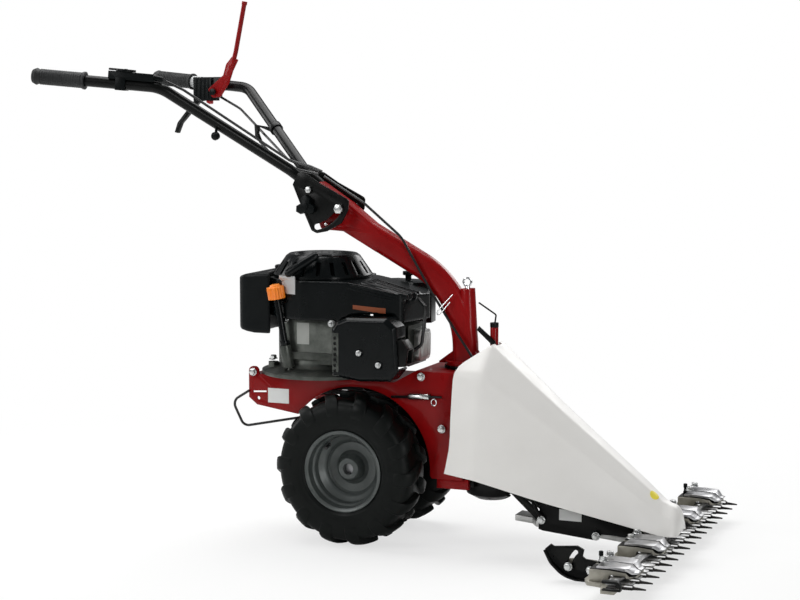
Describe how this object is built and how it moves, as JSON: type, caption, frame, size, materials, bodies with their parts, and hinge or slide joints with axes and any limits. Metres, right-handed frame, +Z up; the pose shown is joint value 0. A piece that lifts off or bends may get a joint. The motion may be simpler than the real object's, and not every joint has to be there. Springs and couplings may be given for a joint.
{
  "type": "sickle bar mower",
  "caption": "Walk-behind sickle bar mower with tractor tyres, upright-shaft engine, tilting handlebar, wedge hood and a wide reciprocating cutter bar.",
  "frame": {"origin": "centre of the machine's bounding box on the ground, midway between the grips' ends and the finger tips", "axes": "+X forward towards the cutter bar, +Y to the machine's left, +Z up"},
  "size_m": [1.4514, 0.867, 1.2111],
  "materials": {
    "tyre": "moulded tread",
    "rim": "silver-grey paint",
    "axle_steel": "turned",
    "red_paint": "gloss paint",
    "black_paint": "satin paint",
    "zinc": "zinc plated",
    "chrome_pin": "polished",
    "grey_cast": "cast",
    "bright_cast": "cast",
    "black_plastic": "fine grain",
    "gloss_black": "semi-gloss",
    "orange_plastic": "moulded",
    "red_plastic": "moulded",
    "white_plastic": "moulded shell",
    "grip_rubber": "ribbed",
    "cable_sheath": "sheathed cable",
    "cast_iron": "cast",
    "dark_steel": "forged, dark",
    "blade_steel": "ground",
    "tan_steel": "machined",
    "strap_steel": "bright"
  },
  "bodies": {
    "frame": {"gearbox_case": "cast_iron", "chassis": "red_paint", "lower_arms": "red_paint", "hex_bolts": "zinc", "crankcase": "grey_cast", "cylinder_head": "grey_cast", "valve_cover": "bright_cast", "fuel_tank": "black_plastic", "dipstick_tube": "gloss_black", "engine_shroud": "gloss_black", "recoil_housing": "gloss_black", "muffler_shield": "gloss_black", "muffler": "black_paint", "air_cleaner": "gloss_black", "spark_lead": "cable_sheath", "drive_belts": "grip_rubber", "crank_housing": "black_paint", "swivel_base": "black_paint", "tension_cable": "cable_sheath", "hood": "white_plastic", "cable_post": "red_paint", "front_rods": "black_paint", "carrier": "black_paint", "carrier_bar": "tan_steel", "cutter_bar": "tan_steel", "fingers": "dark_steel", "clamp_bases": "tan_steel", "clamp_straps": "strap_steel"},
    "wheels": {"tyre_right": "tyre", "tyre_left": "tyre", "rim_right": "rim", "rim_left": "rim", "axle": "axle_steel"},
    "crank": {"crankshaft": "cast_iron"},
    "worm": {"gearbox_pulley": "cast_iron"},
    "blade_drive": {"blade_drive_shaft": "cast_iron"},
    "steering": {"column": "red_paint", "tilt_bolts": "zinc", "mowing_cable": "cable_sheath"},
    "lock": {"lock_pin": "chrome_pin"},
    "handlebar": {"tilt_bracket": "black_paint", "handlebar_right": "black_paint", "handlebar_left": "black_paint", "grips": "grip_rubber", "throttle_box": "black_plastic", "lever_housing": "black_plastic", "tube_clamps": "black_paint", "handlebar_cables": "cable_sheath"},
    "knob": {"tilt_knob": "black_plastic"},
    "throttle": {"throttle_lever": "black_plastic"},
    "clutch_lever": {"hand_lever": "black_paint"},
    "trigger": {"safety_trigger": "red_plastic"},
    "engage_lever": {"mowing_lever": "red_paint"},
    "starter": {"starter_handle": "gloss_black"},
    "stick": {"dipstick": "orange_plastic"},
    "cap": {"fuel_cap": "black_plastic"},
    "rocker": {"rocker_lever": "black_paint"},
    "blade": {"knife": "blade_steel"},
    "shoe_right": {"skid_right": "black_paint"},
    "shoe_left": {"skid_left": "black_paint"}
  },
  "joints": [
    {"name": "wheel_spin", "type": "hinge", "parent": "frame", "child": "wheels", "pos_m": [-0.025, 0, 0.171], "axis": [0, 1, 0], "continuous": true},
    {"name": "crank_spin", "type": "hinge", "parent": "frame", "child": "crank", "pos_m": [-0.143, 0, 0.456], "axis": [0, 0, 1], "continuous": true},
    {"name": "worm_spin", "type": "hinge", "parent": "frame", "child": "worm", "pos_m": [0.005, 0, 0.306], "axis": [0, 0, 1], "continuous": true},
    {"name": "blade_drive_spin", "type": "hinge", "parent": "frame", "child": "blade_drive", "pos_m": [0.265, 0, 0.256], "axis": [0, 0, 1], "continuous": true},
    {"name": "column_swivel", "type": "hinge", "parent": "frame", "child": "steering", "pos_m": [0.201, 0, 0.406], "axis": [0, 0, 1], "range_deg": [-20, 20]},
    {"name": "lock_pin_lift", "type": "slide", "parent": "steering", "child": "lock", "axis": [-0.0533, 0, 0.9986], "range_m": [0, 0.018], "stiffness_N_per_m": 300, "springref_m": -0.01},
    {"name": "handlebar_tilt", "type": "hinge", "parent": "steering", "child": "handlebar", "pos_m": [-0.155, 0, 0.779], "axis": [0, -1, 0], "range_deg": [0, 15]},
    {"name": "tilt_knob_turn", "type": "hinge", "parent": "handlebar", "child": "knob", "pos_m": [-0.159, -0.055, 0.743], "axis": [0, 1, 0], "continuous": true},
    {"name": "throttle_swing", "type": "hinge", "parent": "handlebar", "child": "throttle", "pos_m": [-0.51369, -0.22812, 1.04281], "axis": [0.0843, 0.018, 0.9963], "range_deg": [0, 60]},
    {"name": "hand_lever_squeeze", "type": "hinge", "parent": "handlebar", "child": "clutch_lever", "pos_m": [-0.5767, 0.24154, 0.98071], "axis": [0.2083, 0.9781, 0], "range_deg": [0, 20], "stiffness_Nm_per_rad": 2, "springref_deg": -28.65},
    {"name": "trigger_press", "type": "slide", "parent": "handlebar", "child": "trigger", "axis": [0, 0, 1], "range_m": [0, 0.007], "stiffness_N_per_m": 200, "springref_m": -0.004},
    {"name": "mowing_lever_swing", "type": "hinge", "parent": "handlebar", "child": "engage_lever", "pos_m": [-0.521, 0.196, 0.996], "axis": [0, -1, 0], "range_deg": [0, 35]},
    {"name": "starter_pull", "type": "slide", "parent": "frame", "child": "starter", "axis": [-0.796, -0.0995, 0.597], "range_m": [0, 0.5], "stiffness_N_per_m": 20, "springref_m": -0.1},
    {"name": "dipstick_pull", "type": "slide", "parent": "frame", "child": "stick", "axis": [-0.1311, -0.0999, 0.9863], "range_m": [0, 0.16]},
    {"name": "fuel_cap_turn", "type": "hinge", "parent": "frame", "child": "cap", "pos_m": [-0.267, 0.05, 0.5922], "axis": [-0.0703, 0, 0.9975], "continuous": true},
    {"name": "knife_slide", "type": "slide", "parent": "frame", "child": "blade", "axis": [0, 1, 0], "range_m": [-0.0254, 0.0254]},
    {"name": "rocker_swing", "type": "hinge", "parent": "frame", "child": "rocker", "pos_m": [0.475, 0, 0.076], "axis": [0, 0, 1], "range_deg": [-8.2, 8.2]},
    {"name": "skid_right_drop", "type": "hinge", "parent": "frame", "child": "shoe_right", "pos_m": [0.567, -0.245, 0.03], "axis": [0, -1, 0], "range_deg": [0, 30]},
    {"name": "skid_left_drop", "type": "hinge", "parent": "frame", "child": "shoe_left", "pos_m": [0.567, 0.245, 0.03], "axis": [0, -1, 0], "range_deg": [0, 30]}
  ],
  "couplings": [
    {"joint": "rocker_swing", "follows": "knife_slide", "rad_per_m": 5.5556},
    {"joint": "worm_spin", "follows": "wheel_spin", "ratio": 30}
  ]
}
